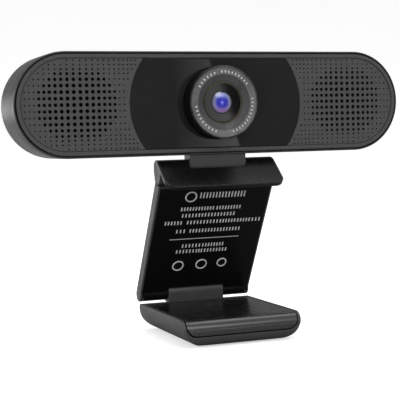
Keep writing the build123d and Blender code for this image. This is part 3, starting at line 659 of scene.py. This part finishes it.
# ---------------------------------------------------------------- finishes
class WEBCAM_OT_mix_finishes(bpy.types.Operator):
    """Make every finish from the webcam's colours"""

    bl_idname = "webcam.mix_finishes"
    bl_label = "Mix finishes"

    def execute(self, context):
        colours = context.scene.webcam_colours
        graphite = tuple(colours.graphite)
        charcoal = tuple(colours.charcoal)
        gloss = tuple(colours.gloss)
        ring = tuple(colours.ring)
        black = (0.003, 0.003, 0.0034)
        # Grain depths, ripples and turning pitches are in metres, edge radii in millimetres, and
        # grain scales in cells to the metre.
        finishes.update(
            graphite=moulded("graphite_shell", graphite, 0.42, 2600.0, 0.00003),
            charcoal=moulded("satin_charcoal", charcoal, 0.36, 3000.0, 0.00002),
            grille=moulded("speckled_grille", tuple(colours.grille), 0.55, 1500.0, 0.00006, 0.35, 0.1),
            satin=moulded("satin_black", black, 0.35, 2600.0, 0.00001, 0.2, 0.15, specular=0.15),
            # The hood's large edge factor paints a bright highlight along its edges.
            hood=moulded("hood_black", black, 0.35, 2600.0, 0.00001, 0.2, 0.25, 200.0, specular=0.15),
            baffle=polished("baffle_black", black, 0.05, 0.1, 0.000001, specular=0.18),
            centre=polished("centre_gloss", shade(gloss, 5.6), 0.02, 0.3, 0.000001, specular=0.1),
            plate=polished("label_gloss", shade(gloss, 1.7), 0.24, 0.3, 0.000002, specular=0.08),
            # The lip's and the cover's edge factors paint highlights along their edges.
            lip=polished("lip_gloss", shade(gloss, 1.5), 0.3, 0.4, 0.000002, specular=0.2, edge=30.0),
            cover=polished("cover_gloss", gloss, 0.27, 0.3, 0.000002, specular=0.9, edge=3.0),
            bezel=moulded("bezel_charcoal", shade(charcoal, 0.8), 0.38, 3000.0, 0.00002),
            ring=machined("ring_grey", ring, 0.42, 0.00005, metallic=0.3),
            ring_dark=machined("ring_dark", shade(ring, 0.5), 0.38, 0.00004, metallic=0.3),
            accent=machined("accent_gold", tuple(colours.accent), 0.42, 0.00003),
            contact=machined("contact_gold", shade(colours.accent, 7.0), 0.25),
            barrel=machined("black_aluminium", (0.03, 0.03, 0.032), 0.35, 0.00006, metallic=0.8),
            coated=coated("coated_glass", tuple(colours.coating)),
            clear=clear_glass("filter_glass", (0.55, 0.75, 0.8)),
            sensor=polished("sensor_face", (0.03, 0.06, 0.05), roughness=0.12),
            rubber=rubbery("soft_rubber", (0.018, 0.018, 0.018)),
            foam=rubbery("foam_grey", (0.07, 0.07, 0.07), 700.0),
            cloth=woven("acoustic_cloth", (0.008, 0.008, 0.008)),
            board=laminate("circuit_board", (0.012, 0.09, 0.045), (0.03, 0.17, 0.08)),
            chip=moulded("chip_body", (0.02, 0.02, 0.02), 0.5, 3200.0, 0.00001),
            ivory=moulded("socket_ivory", (0.62, 0.6, 0.52), 0.45, 2800.0, 0.00001),
            film=polished("ribbon_film", (0.48, 0.24, 0.05), roughness=0.22),
            plated=machined("plated_shell", (0.75, 0.75, 0.77), 0.22),
            steel=machined("zinc_steel", (0.56, 0.56, 0.57), 0.32),
            painted=moulded("speaker_steel", (0.03, 0.03, 0.03), 0.4, 2000.0, 0.00002),
            paper=moulded("speaker_paper", (0.05, 0.05, 0.05), 0.75, 900.0, 0.00008, 0.3),
            copper=machined("coil_copper", (0.75, 0.35, 0.18), 0.3, 0.00003),
            brass=machined("bush_brass", (0.72, 0.55, 0.28), 0.28),
            ink=moulded("pale_ink", tuple(colours.print_white), 0.6, 3000.0, 0.00001, 0.06, 0.03),
            ring_ink=moulded("ring_ink", shade(colours.print_white, 0.85), 0.6, 3000.0, 0.00001, 0.06, 0.03),
        )
        return {"FINISHED"}


class WEBCAM_OT_paint_head(bpy.types.Operator):
    """Finish the housing, bezel, front and neck of the head"""

    bl_idname = "webcam.paint_head"
    bl_label = "Paint head"

    def execute(self, context):
        paint(finishes["charcoal"], "rear_housing")
        paint(finishes["bezel"], "front_bezel")
        paint(finishes["grille"], "front_panel")
        paint(finishes["centre"], "centre_panel")
        paint(finishes["cloth"], "grille_cloths")
        paint(finishes["graphite"], "neck_block")
        paint(finishes["brass"], "neck_bushes")
        paint(finishes["steel"], "neck_screws", "bezel_screws")
        return {"FINISHED"}


class WEBCAM_OT_paint_lens(bpy.types.Operator):
    """Finish the hood, rings, barrel and glass of the lens"""

    bl_idname = "webcam.paint_lens"
    bl_label = "Paint lens"

    def execute(self, context):
        paint(finishes["hood"], "lens_hood")
        paint(finishes["baffle"], "lens_baffle")
        paint(finishes["satin"], "lens_holder")
        paint(finishes["ring"], "lens_trim_ring")
        paint(finishes["ring_dark"], "lens_inner_cone")
        paint(finishes["accent"], "lens_accent_ring")
        paint(finishes["barrel"], "lens_barrel")
        paint(finishes["coated"], "lens_front_glass")
        paint(finishes["clear"], "lens_rear_glass", "ir_filter")
        paint(finishes["sensor"], "image_sensor")
        return {"FINISHED"}


class WEBCAM_OT_paint_electronics(bpy.types.Operator):
    """Finish the boards, chips, ribbon, socket, speakers and microphones"""

    bl_idname = "webcam.paint_electronics"
    bl_label = "Paint electronics"

    def execute(self, context):
        paint(finishes["board"], "camera_board", "main_board")
        paint(finishes["chip"], "processor_chip", "audio_chip", "memory_chip")
        paint(finishes["steel"], "board_screws", "holder_screws")
        paint(finishes["ivory"], "ribbon_sockets")
        paint(finishes["film"], "ribbon_cable")
        paint(finishes["plated"], "usb_socket", "microphones")
        paint(finishes["satin"], "usb_tongue")
        paint(finishes["foam"], "speaker_gaskets")
        paint(finishes["painted"], "speaker_frame_left", "speaker_frame_right")
        paint(finishes["rubber"], "speaker_surrounds", "microphone_boots")
        paint(finishes["paper"], "speaker_cone_left", "speaker_cone_right")
        paint(finishes["copper"], "speaker_coils")
        paint(finishes["steel"], "speaker_magnet_left", "speaker_magnet_right")
        return {"FINISHED"}


class WEBCAM_OT_paint_stand(bpy.types.Operator):
    """Finish the foot, arm and clip of the stand"""

    bl_idname = "webcam.paint_stand"
    bl_label = "Paint stand"

    def execute(self, context):
        paint(finishes["graphite"], "foot_shell", "fold_knuckle", "arm_frame", "clip_bracket")
        paint(finishes["cover"], "foot_insert")
        paint(finishes["plate"], "label_panel", "arm_barrels")
        paint(finishes["lip"], "lip_plate")
        paint(finishes["rubber"], "foot_pad", "arm_pad", "lip_pad")
        paint(finishes["steel"], "foot_weight", "foot_screws", "fold_pin", "tilt_pin", "clip_pins")
        paint(finishes["brass"], "knuckle_bushes", "tripod_insert")
        return {"FINISHED"}


# ---------------------------------------------------------------- lens pieces
class WEBCAM_OT_add_lens_dome(bpy.types.Operator):
    """Domed front glass with a ground rim, in place of the plain lens element"""

    bl_idname = "webcam.add_lens_dome"
    bl_label = "Add lens dome"

    def execute(self, context):
        low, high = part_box("lens_front_glass")
        radius = (high.x - low.x) / 2
        rise = 0.8 * MM
        rim = high.y - low.y - rise
        ball = (radius**2 + rise**2) / (2 * rise)
        rim_front = low.y + rise
        dome = begin(
            "lens_dome",
            bpy.ops.mesh.primitive_uv_sphere_add,
            segments=64,
            ring_count=140,
            radius=ball,
            location=(LENS_CENTRE.x, low.y + ball, LENS_CENTRE.z),
            rotation=(math.radians(90), 0, 0),
        )
        bpy.ops.mesh.bisect(
            plane_co=(0, rim_front, 0),
            plane_no=(0, 1, 0),
            clear_outer=True,
            use_fill=True,
        )
        bpy.ops.mesh.extrude_region_move(TRANSFORM_OT_translate={"value": (0, rim, 0)})
        bpy.ops.mesh.select_all(action="SELECT")
        bpy.ops.mesh.remove_doubles(threshold=0.001 * MM)
        bpy.ops.mesh.normals_make_consistent(inside=False)
        end(dome, "head", finishes["coated"], smooth=50)
        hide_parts("lens_front_glass")
        return {"FINISHED"}


class WEBCAM_OT_add_ring_marks(bpy.types.Operator):
    """Plain scale marks in four groups around the sloping lens ring"""

    bl_idname = "webcam.add_ring_marks"
    bl_label = "Add ring marks"

    def execute(self, context):
        sizes = context.scene.webcam_sizes
        low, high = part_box("lens_trim_ring")
        outer = (high.x - low.x) / 2
        middle = outer - 1.35 * MM
        slope = math.atan2(0.35, 2.75)
        front = low.y + 0.175 * MM
        marks = []
        for first, last in ((19.0, 59.0), (-53.0, 4.0), (-163.0, -84.0), (-262.0, -199.0)):
            mark = begin(
                "ring_marks",
                bpy.ops.mesh.primitive_cube_add,
                size=1.0,
                location=(LENS_CENTRE.x, front, LENS_CENTRE.z + middle),
                rotation=(-slope, 0, 0),
                stretch=(0.6 * MM, 2 * sizes.print_thickness, sizes.tick_length),
            )
            bpy.ops.mesh.bevel(offset=0.02 * MM, segments=1, affect="EDGES")
            bpy.ops.mesh.select_all(action="SELECT")
            centre = tuple(LENS_CENTRE)
            turn_about(centre, "Y", math.radians(first))
            steps = round(math.radians(last - first) / sizes.tick_step)
            bpy.ops.mesh.spin(
                steps=steps,
                dupli=True,
                angle=math.radians(last - first),
                center=centre,
                axis=(0, 1, 0),
            )
            bpy.ops.object.mode_set(mode="OBJECT")
            marks.append(mark)
        ring = join("ring_marks", marks)
        end(ring, "head", finishes["ring_ink"])
        return {"FINISHED"}


def turn_about(centre, axis, angle):
    """Turn what is selected in edit mode about a point."""
    bpy.ops.transform.rotate(value=angle, orient_axis=axis, orient_type="GLOBAL", center_override=centre)


def join(name, pieces):
    """Join finished parts of one piece."""
    bpy.ops.object.select_all(action="DESELECT")
    for piece in pieces:
        piece.select_set(True)
    bpy.context.view_layer.objects.active = pieces[0]
    bpy.ops.object.join()
    pieces[0].name = name
    pieces[0].data.name = name
    return pieces[0]


# ---------------------------------------------------------------- label plate
LEAN = math.radians(31.8)
PLATE_FRONT = 2.1 * MM


def on_plate(across, along, proud):
    """Point of the leaning label plate: across, up the plate from the fold axis, and off its face."""
    return Vector(
        (
            across,
            FOLD_AXIS.y - along * math.sin(LEAN) - (PLATE_FRONT + proud) * math.cos(LEAN),
            FOLD_AXIS.z + along * math.cos(LEAN) - (PLATE_FRONT + proud) * math.sin(LEAN),
        )
    )


class WEBCAM_OT_add_label_marks(bpy.types.Operator):
    """Rows of plain dashes, a rule and rings on the label plate"""

    bl_idname = "webcam.add_label_marks"
    bl_label = "Add label marks"

    def execute(self, context):
        sizes = context.scene.webcam_sizes
        thickness = 2 * sizes.print_thickness
        # Height up the plate, height of the dashes, and the stretches that they fill, in mm.
        rows = (
            (49.9, 2.7, ((-6.0, 12.6),)),
            (43.6, 1.7, ((-13.0, -5.6), (-4.4, 0.4), (2.0, 11.8))),
            (40.4, 1.7, ((-12.1, -7.8), (-6.4, -2.4), (-1.0, 9.8))),
            (37.0, 1.7, ((-18.8, -12.2), (-9.4, -6.6), (-5.2, 3.2), (4.6, 10.8), (12.2, 17.2), (18.6, 21.6))),
            (32.8, 1.7, ((-13.3, -10.2), (-7.6, 13.5))),
            (25.4, 1.7, ((-9.6, -3.8), (-2.4, -0.9), (0.4, 7.8))),
            (22.6, 1.7, ((-11.7, -4.6), (-3.2, -1.0), (0.4, 9.6))),
        )
        marks = begin(
            "label_marks",
            bpy.ops.mesh.primitive_cube_add,
            size=1.0,
            location=on_plate(-0.9 * MM, 28.9 * MM, 0),
            rotation=(LEAN, 0, 0),
            stretch=(30.0 * MM, thickness, 0.3 * MM),
        )
        for along, height, stretches in rows:
            for first, last in stretches:
                gaps = max(1, round((last - first) * MM / sizes.dash_pitch))
                for index in range(gaps + 1):
                    across = first + (last - first) * index / gaps
                    place = on_plate(across * MM, along * MM, 0)
                    block(place, (sizes.dash_width, thickness, height * MM), LEAN)
        round_edges(marks, 0.02 * MM, 1)
        # Place across and up the plate, and radius, of each ring, in mm.
        rings = ((-10.0, 49.4, 2.2), (-10.0, 15.4, 2.2), (0.1, 15.6, 2.2), (9.1, 15.8, 1.9))
        for across, along, radius in rings:
            bpy.ops.mesh.primitive_torus_add(
                location=on_plate(across * MM, along * MM, 0),
                rotation=(math.radians(90) + LEAN, 0, 0),
                major_segments=40,
                minor_segments=6,
                major_radius=radius * MM,
                minor_radius=0.3 * MM,
            )
        end(marks, "arm", finishes["ink"])
        return {"FINISHED"}


# ---------------------------------------------------------------- grips, thread and contacts
class WEBCAM_OT_add_grip_ribs(bpy.types.Operator):
    """Rounded ribs across the arm's and the lip's grip pads"""

    bl_idname = "webcam.add_grip_ribs"
    bl_label = "Add grip ribs"

    def execute(self, context):
        sizes = context.scene.webcam_sizes
        mounts = {mount["name"]: mount for mount in frame["record"]["mounts"]}
        for name, mount_name, body, half_width, half_run in (
            ("arm_pad_ribs", "arm_grip", "arm", 16.5 * MM, 14.0 * MM),
            ("lip_pad_ribs", "lip_grip", "clip", 18.8 * MM, 1.6 * MM),
        ):
            face = Vector(mounts[mount_name]["pos_m"])
            outward = Vector(mounts[mount_name]["axis"])
            up = Vector((1, 0, 0)).cross(outward)
            turn = math.atan2(up.z, up.y)
            count = int(2 * half_run / sizes.rib_pitch) + 1
            spare = (2 * half_run - (count - 1) * sizes.rib_pitch) / 2
            first = spare - half_run
            ribs = begin(
                name,
                bpy.ops.mesh.primitive_cube_add,
                size=1.0,
                location=face + up * first,
                rotation=(turn, 0, 0),
                stretch=(2 * half_width, 1.2 * MM, 2 * sizes.rib_height),
            )
            bpy.ops.mesh.bevel(offset=0.3 * MM, segments=3, affect="EDGES")
            for _ in range(count - 1):
                bpy.ops.mesh.duplicate_move(TRANSFORM_OT_translate={"value": tuple(up * sizes.rib_pitch)})
            end(ribs, body, finishes["rubber"])
        return {"FINISHED"}


class WEBCAM_OT_add_tripod_thread(bpy.types.Operator):
    """Helical ridge inside the tripod insert, under the foot"""

    bl_idname = "webcam.add_tripod_thread"
    bl_label = "Add tripod thread"

    def execute(self, context):
        pitch = context.scene.webcam_sizes.thread_pitch
        low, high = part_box("tripod_insert")
        bore = 2.6 * MM
        turns = int((high.z - low.z) / pitch) - 1
        thread = begin(
            "tripod_thread_ridge",
            bpy.ops.mesh.primitive_circle_add,
            vertices=3,
            radius=0.38 * MM,
            location=(bore + 0.04 * MM, 0, low.z + 0.8 * MM),
            rotation=(math.radians(90), 0, 0),
        )
        turn_about(tuple(thread.location), "Y", math.radians(90))
        bpy.ops.object.mode_set(mode="OBJECT")
        bpy.ops.object.transform_apply(location=True, rotation=True, scale=True)
        screw = thread.modifiers.new("Turns", "SCREW")
        screw.axis = "Z"
        screw.screw_offset = pitch
        screw.iterations = turns
        screw.steps = 32
        screw.render_steps = 32
        screw.use_merge_vertices = True
        bpy.ops.object.modifier_apply(modifier=screw.name)
        bpy.ops.object.mode_set(mode="EDIT")
        bpy.ops.mesh.select_all(action="SELECT")
        bpy.ops.mesh.fill_holes(sides=4)
        bpy.ops.mesh.select_all(action="SELECT")
        bpy.ops.mesh.normals_make_consistent(inside=False)
        end(thread, "foot", finishes["brass"])
        return {"FINISHED"}


class WEBCAM_OT_add_socket_contacts(bpy.types.Operator):
    """Gold contacts on both faces of the socket's tongue"""

    bl_idname = "webcam.add_socket_contacts"
    bl_label = "Add socket contacts"

    def execute(self, context):
        count = context.scene.webcam_sizes.contact_count
        low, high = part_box("usb_tongue")
        step = (high.x - low.x - 0.8 * MM) / (count - 1)
        reach = 0.6 * (high.y - low.y)
        contacts = begin(
            "socket_contacts",
            bpy.ops.mesh.primitive_cube_add,
            size=1.0,
            location=(low.x + 0.4 * MM, high.y - 0.5 * MM - reach / 2, high.z),
            stretch=(0.3 * MM, reach, 0.1 * MM),
        )
        bpy.ops.mesh.bevel(offset=0.03 * MM, segments=2, affect="EDGES")
        for _ in range(count - 1):
            bpy.ops.mesh.duplicate_move(TRANSFORM_OT_translate={"value": (step, 0, 0)})
        bpy.ops.mesh.select_all(action="SELECT")
        bpy.ops.mesh.duplicate_move(TRANSFORM_OT_translate={"value": (0, 0, low.z - high.z)})
        end(contacts, "head", finishes["contact"])
        return {"FINISHED"}


# ---------------------------------------------------------------- stage
class WEBCAM_OT_set_stage(bpy.types.Operator):
    """Camera, pale floor, white surround and large soft lights"""

    bl_idname = "webcam.set_stage"
    bl_label = "Set stage"

    def execute(self, context):
        stage = context.scene.webcam_stage
        add_camera(context.scene, stage)
        add_floor()
        add_surround(context.scene, stage)
        add_reflector(stage)
        add_soft_light("side_light", (-0.8, 0.0, 0.2), (0, 0, 0.08), 0.6, stage.side_light)
        add_soft_light("top_light", (0.1, 0.15, 0.8), (0, 0, 0.05), 0.9, stage.top_light)
        add_soft_light("front_light", (0.12, -0.75, 0.6), (0, 0, 0.06), 0.4, stage.front_light)
        add_soft_light("catch_light", (0.38, -0.8, 0.5), (0, 0, 0.09), 0.22, stage.catch_light)
        add_soft_light("rim_light", (-0.5, 1.0, 0.06), (0, 0, 0.08), 0.35, stage.rim_light)
        return {"FINISHED"}


def add_camera(scene, stage):
    """Camera a little to the left and slightly above the middle of the object."""
    bpy.ops.object.camera_add()
    camera = bpy.context.object
    camera.name = "camera"
    camera.data.lens = stage.focal_length
    camera.data.sensor_width = 36.0
    yaw, pitch, roll = (math.radians(angle) for angle in (-20.8008, -3.1143, -1.5241))
    turn = (
        Matrix.Rotation(yaw, 4, "Z")
        @ Matrix.Rotation(math.pi / 2 + pitch, 4, "X")
        @ Matrix.Rotation(roll, 4, "Z")
    )
    camera.matrix_world = Matrix.Translation((-0.16384, -0.41730, 0.07772)) @ turn
    scene.camera = camera


def add_floor():
    """Pale floor that curves up behind the object."""
    floor = begin("floor", bpy.ops.mesh.primitive_plane_add, size=6.0, location=(0, 0, 0))
    pick(floor, "EDGE", lambda edge: all(v.co.y > 2.9 for v in edge.verts))
    bpy.ops.mesh.extrude_region_move(TRANSFORM_OT_translate={"value": (0, 0, 3.0)})
    pick(floor, "EDGE", lambda edge: all(v.co.y > 2.9 and v.co.z < 0.1 for v in edge.verts))
    bpy.ops.mesh.bevel(offset=1.5, segments=12, affect="EDGES")
    bpy.ops.object.mode_set(mode="OBJECT")
    bpy.ops.object.shade_smooth_by_angle(angle=math.radians(40))
    material, tree, shader = start_material("pale_floor", 0.6, specular=0.1)
    seen = add_node(tree, "ShaderNodeLightPath")
    tone = mix_colours(tree, seen.outputs["Is Camera Ray"], (0.4, 0.4, 0.4), (0.8, 0.8, 0.8))
    glow = mix_colours(tree, seen.outputs["Is Camera Ray"], (0.0, 0.0, 0.0), (0.55, 0.55, 0.55))
    tree.links.new(tone, shader.inputs["Base Color"])
    tree.links.new(glow, shader.inputs["Emission Color"])
    shader.inputs["Emission Strength"].default_value = 1.0
    floor.data.materials.append(material)


def add_surround(scene, stage):
    """White surround that dims towards the front, and colours shown as they are."""
    world = bpy.data.worlds.new("surround")
    world.use_nodes = True
    tree = world.node_tree
    light = tree.nodes["Background"]
    direction = add_node(tree, "ShaderNodeTexCoord")
    parts = add_node(tree, "ShaderNodeSeparateXYZ")
    seen = add_node(tree, "ShaderNodeLightPath")
    tree.links.new(direction.outputs["Generated"], parts.inputs[0])
    dimmed = spread(tree, parts.outputs["Y"], -0.8, 0.1, stage.front_dimming, 1.0, soft=True)
    strength = reckon(tree, "MAXIMUM", dimmed, seen.outputs["Is Camera Ray"])
    tree.links.new(strength, light.inputs["Strength"])
    light.inputs["Color"].default_value = (stage.surround, stage.surround, stage.surround, 1.0)
    scene.world = world
    scene.view_settings.view_transform = "Standard"


def add_reflector(stage):
    """Glowing card in front, brighter towards one slanting edge, that only glossy faces show."""
    edge_middle = Vector((0.4065, -1.0, 0.126))
    slant = math.radians(19.4)
    width, height = 0.2, 0.7
    across = Vector((math.cos(slant), 0, math.sin(slant)))
    card = begin(
        "reflector",
        bpy.ops.mesh.primitive_plane_add,
        stretch=(width, height, 1),
        size=1.0,
        location=edge_middle - across * (width / 2),
        rotation=(math.radians(90), -slant, 0),
    )
    bpy.ops.object.mode_set(mode="OBJECT")
    bpy.ops.object.transform_apply(location=True, rotation=True, scale=True)
    material = bpy.data.materials.new("reflector_glow")
    material.use_nodes = True
    tree = material.node_tree
    tree.nodes.remove(tree.nodes["Principled BSDF"])
    glow = add_node(tree, "ShaderNodeEmission")
    parts = add_node(tree, "ShaderNodeSeparateXYZ")
    tree.links.new(object_place(tree), parts.inputs[0])
    ramp = spread(tree, parts.outputs["X"], 0.335, 0.43, stage.front_dimming, stage.reflector_glow)
    tree.links.new(ramp, glow.inputs["Strength"])
    tree.links.new(glow.outputs[0], tree.nodes["Material Output"].inputs["Surface"])
    card.data.materials.append(material)
    card.visible_camera = False
    card.visible_diffuse = False
    card.visible_shadow = False


def add_soft_light(name, place, target, size, power):
    """Large round light that faces a target."""
    aim = (Vector(target) - Vector(place)).to_track_quat("-Z", "Y").to_euler()
    bpy.ops.object.light_add(type="AREA", location=place, rotation=aim)
    lamp = bpy.context.object
    lamp.name = name
    lamp.data.shape = "DISK"
    lamp.data.size = size
    lamp.data.energy = power
    lamp.visible_camera = False


class WEBCAM_PT_sidebar(bpy.types.Panel):
    """The steps that finish the webcam, and the settings that they read"""

    bl_idname = "WEBCAM_PT_sidebar"
    bl_label = "Webcam"
    bl_space_type = "VIEW_3D"
    bl_region_type = "UI"
    bl_category = "Webcam"

    def draw(self, context):
        steps = self.layout.column(align=True)
        for step in STEPS:
            steps.operator(step)
        for settings in ("webcam_colours", "webcam_sizes", "webcam_stage"):
            group = getattr(context.scene, settings)
            box = self.layout.box()
            for name in group.__annotations__:
                box.prop(group, name)


STEPS = (
    "webcam.mix_finishes",
    "webcam.paint_head",
    "webcam.paint_lens",
    "webcam.paint_electronics",
    "webcam.paint_stand",
    "webcam.add_lens_dome",
    "webcam.add_ring_marks",
    "webcam.add_label_marks",
    "webcam.add_grip_ribs",
    "webcam.add_tripod_thread",
    "webcam.add_socket_contacts",
    "webcam.set_stage",
)

CLASSES = (
    WebcamColours,
    WebcamSizes,
    WebcamStage,
    WEBCAM_OT_mix_finishes,
    WEBCAM_OT_paint_head,
    WEBCAM_OT_paint_lens,
    WEBCAM_OT_paint_electronics,
    WEBCAM_OT_paint_stand,
    WEBCAM_OT_add_lens_dome,
    WEBCAM_OT_add_ring_marks,
    WEBCAM_OT_add_label_marks,
    WEBCAM_OT_add_grip_ribs,
    WEBCAM_OT_add_tripod_thread,
    WEBCAM_OT_add_socket_contacts,
    WEBCAM_OT_set_stage,
    WEBCAM_PT_sidebar,
)


def register():
    for cls in CLASSES:
        bpy.utils.register_class(cls)
    bpy.types.Scene.webcam_colours = PointerProperty(type=WebcamColours)
    bpy.types.Scene.webcam_sizes = PointerProperty(type=WebcamSizes)
    bpy.types.Scene.webcam_stage = PointerProperty(type=WebcamStage)


def unregister():
    del bpy.types.Scene.webcam_stage
    del bpy.types.Scene.webcam_sizes
    del bpy.types.Scene.webcam_colours
    for cls in reversed(CLASSES):
        bpy.utils.unregister_class(cls)


def main():
    """Run every step in order."""
    register()
    for step in STEPS:
        family, name = step.split(".")
        getattr(getattr(bpy.ops, family), name)()


if __name__ == "__main__":
    main()
